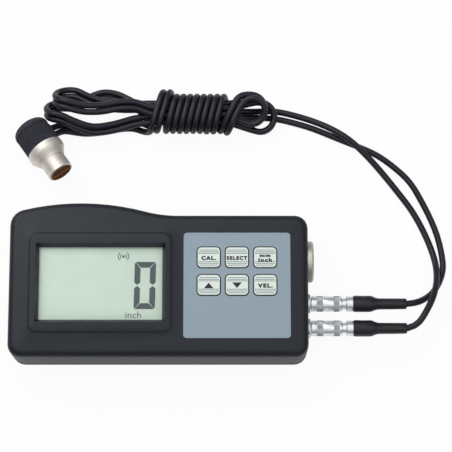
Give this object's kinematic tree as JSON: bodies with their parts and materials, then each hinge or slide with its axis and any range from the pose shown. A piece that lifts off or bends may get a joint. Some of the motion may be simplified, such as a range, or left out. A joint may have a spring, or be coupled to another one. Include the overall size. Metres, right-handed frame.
{
  "type": "ultrasonic thickness gauge",
  "caption": "Hand-held ultrasonic thickness gauge on its back, with display, keypad, calibration block and a dual-element probe on a wound twin lead.",
  "frame": {"origin": "centre of the case on its flat back", "axes": "+X along the case towards the sockets, +Y towards the crest, +Z out of the display"},
  "size_m": [0.1872, 0.121, 0.027],
  "materials": {
    "case": "fine grained black moulding",
    "window": "clear",
    "display": "pale green-grey liquid crystal display",
    "white_plastic": "satin",
    "strip": "matt",
    "panel": "blue-grey film",
    "key": "pale printed film",
    "board": "solder mask",
    "black_plastic": "matt",
    "steel": "plated",
    "block": "ground and plated",
    "nickel": "nickel plated",
    "chrome": "bright plated",
    "cell": "gloss",
    "boot": "satin sleeve",
    "cord": "satin jacket",
    "shell": "turned",
    "delay": "ground flat",
    "barrier": "cork",
    "crystal": "fired",
    "backing": "cast"
  },
  "bodies": {
    "gauge": {"front_case": "case", "rear_case": "case", "case_screws": "steel", "display_window": "window", "display_glass": "display", "display_frame": "white_plastic", "contact_strips": "strip", "keypad_panel": "panel", "main_board": "board", "board_chips": "black_plastic", "key_switches": "black_plastic", "board_screws": "steel", "calibration_block": "block", "cell_1": "cell", "cell_2": "cell", "cell_3": "cell", "cell_4": "cell", "contacts_left": "nickel", "contacts_right": "nickel", "socket_upper": "chrome", "socket_lower": "chrome", "socket_nuts": "nickel", "plug_core_upper": "chrome", "collet_nut_upper": "chrome", "boot_upper": "boot", "plug_core_lower": "chrome", "collet_nut_lower": "chrome", "boot_lower": "boot", "cord_upper": "cord", "cord_lower": "cord", "cord_hank": "cord", "cord_tail_upper": "cord", "cord_tail_lower": "cord", "probe_cap": "case", "probe_shell": "shell", "delay_line_a": "delay", "delay_line_b": "delay", "acoustic_barrier": "barrier", "crystal_a": "crystal", "crystal_b": "crystal", "probe_backing": "backing"},
    "key_calibrate": {"key_calibrate": "key"},
    "key_select": {"key_select": "key"},
    "key_units": {"key_units": "key"},
    "key_raise": {"key_raise": "key"},
    "key_lower": {"key_lower": "key"},
    "key_velocity": {"key_velocity": "key"},
    "sleeve_upper": {"plug_sleeve_upper": "chrome"},
    "sleeve_lower": {"plug_sleeve_lower": "chrome"},
    "cover": {"battery_cover": "case"}
  },
  "joints": [
    {"name": "key_calibrate_press", "type": "slide", "parent": "gauge", "child": "key_calibrate", "axis": [0, 0, -1], "range_m": [0, 0.0005], "stiffness_N_per_m": 300, "springref_m": -0.0005},
    {"name": "key_select_press", "type": "slide", "parent": "gauge", "child": "key_select", "axis": [0, 0, -1], "range_m": [0, 0.0005], "stiffness_N_per_m": 300, "springref_m": -0.0005},
    {"name": "key_units_press", "type": "slide", "parent": "gauge", "child": "key_units", "axis": [0, 0, -1], "range_m": [0, 0.0005], "stiffness_N_per_m": 300, "springref_m": -0.0005},
    {"name": "key_raise_press", "type": "slide", "parent": "gauge", "child": "key_raise", "axis": [0, 0, -1], "range_m": [0, 0.0005], "stiffness_N_per_m": 300, "springref_m": -0.0005},
    {"name": "key_lower_press", "type": "slide", "parent": "gauge", "child": "key_lower", "axis": [0, 0, -1], "range_m": [0, 0.0005], "stiffness_N_per_m": 300, "springref_m": -0.0005},
    {"name": "key_velocity_press", "type": "slide", "parent": "gauge", "child": "key_velocity", "axis": [0, 0, -1], "range_m": [0, 0.0005], "stiffness_N_per_m": 300, "springref_m": -0.0005},
    {"name": "sleeve_upper_release", "type": "slide", "parent": "gauge", "child": "sleeve_upper", "axis": [1, 0, 0], "range_m": [0, 0.0012], "stiffness_N_per_m": 200, "springref_m": -0.001},
    {"name": "sleeve_lower_release", "type": "slide", "parent": "gauge", "child": "sleeve_lower", "axis": [1, 0, 0], "range_m": [0, 0.0012], "stiffness_N_per_m": 200, "springref_m": -0.001},
    {"name": "cover_slide", "type": "slide", "parent": "gauge", "child": "cover", "axis": [-1, 0, 0], "range_m": [0, 0.056]}
  ]
}
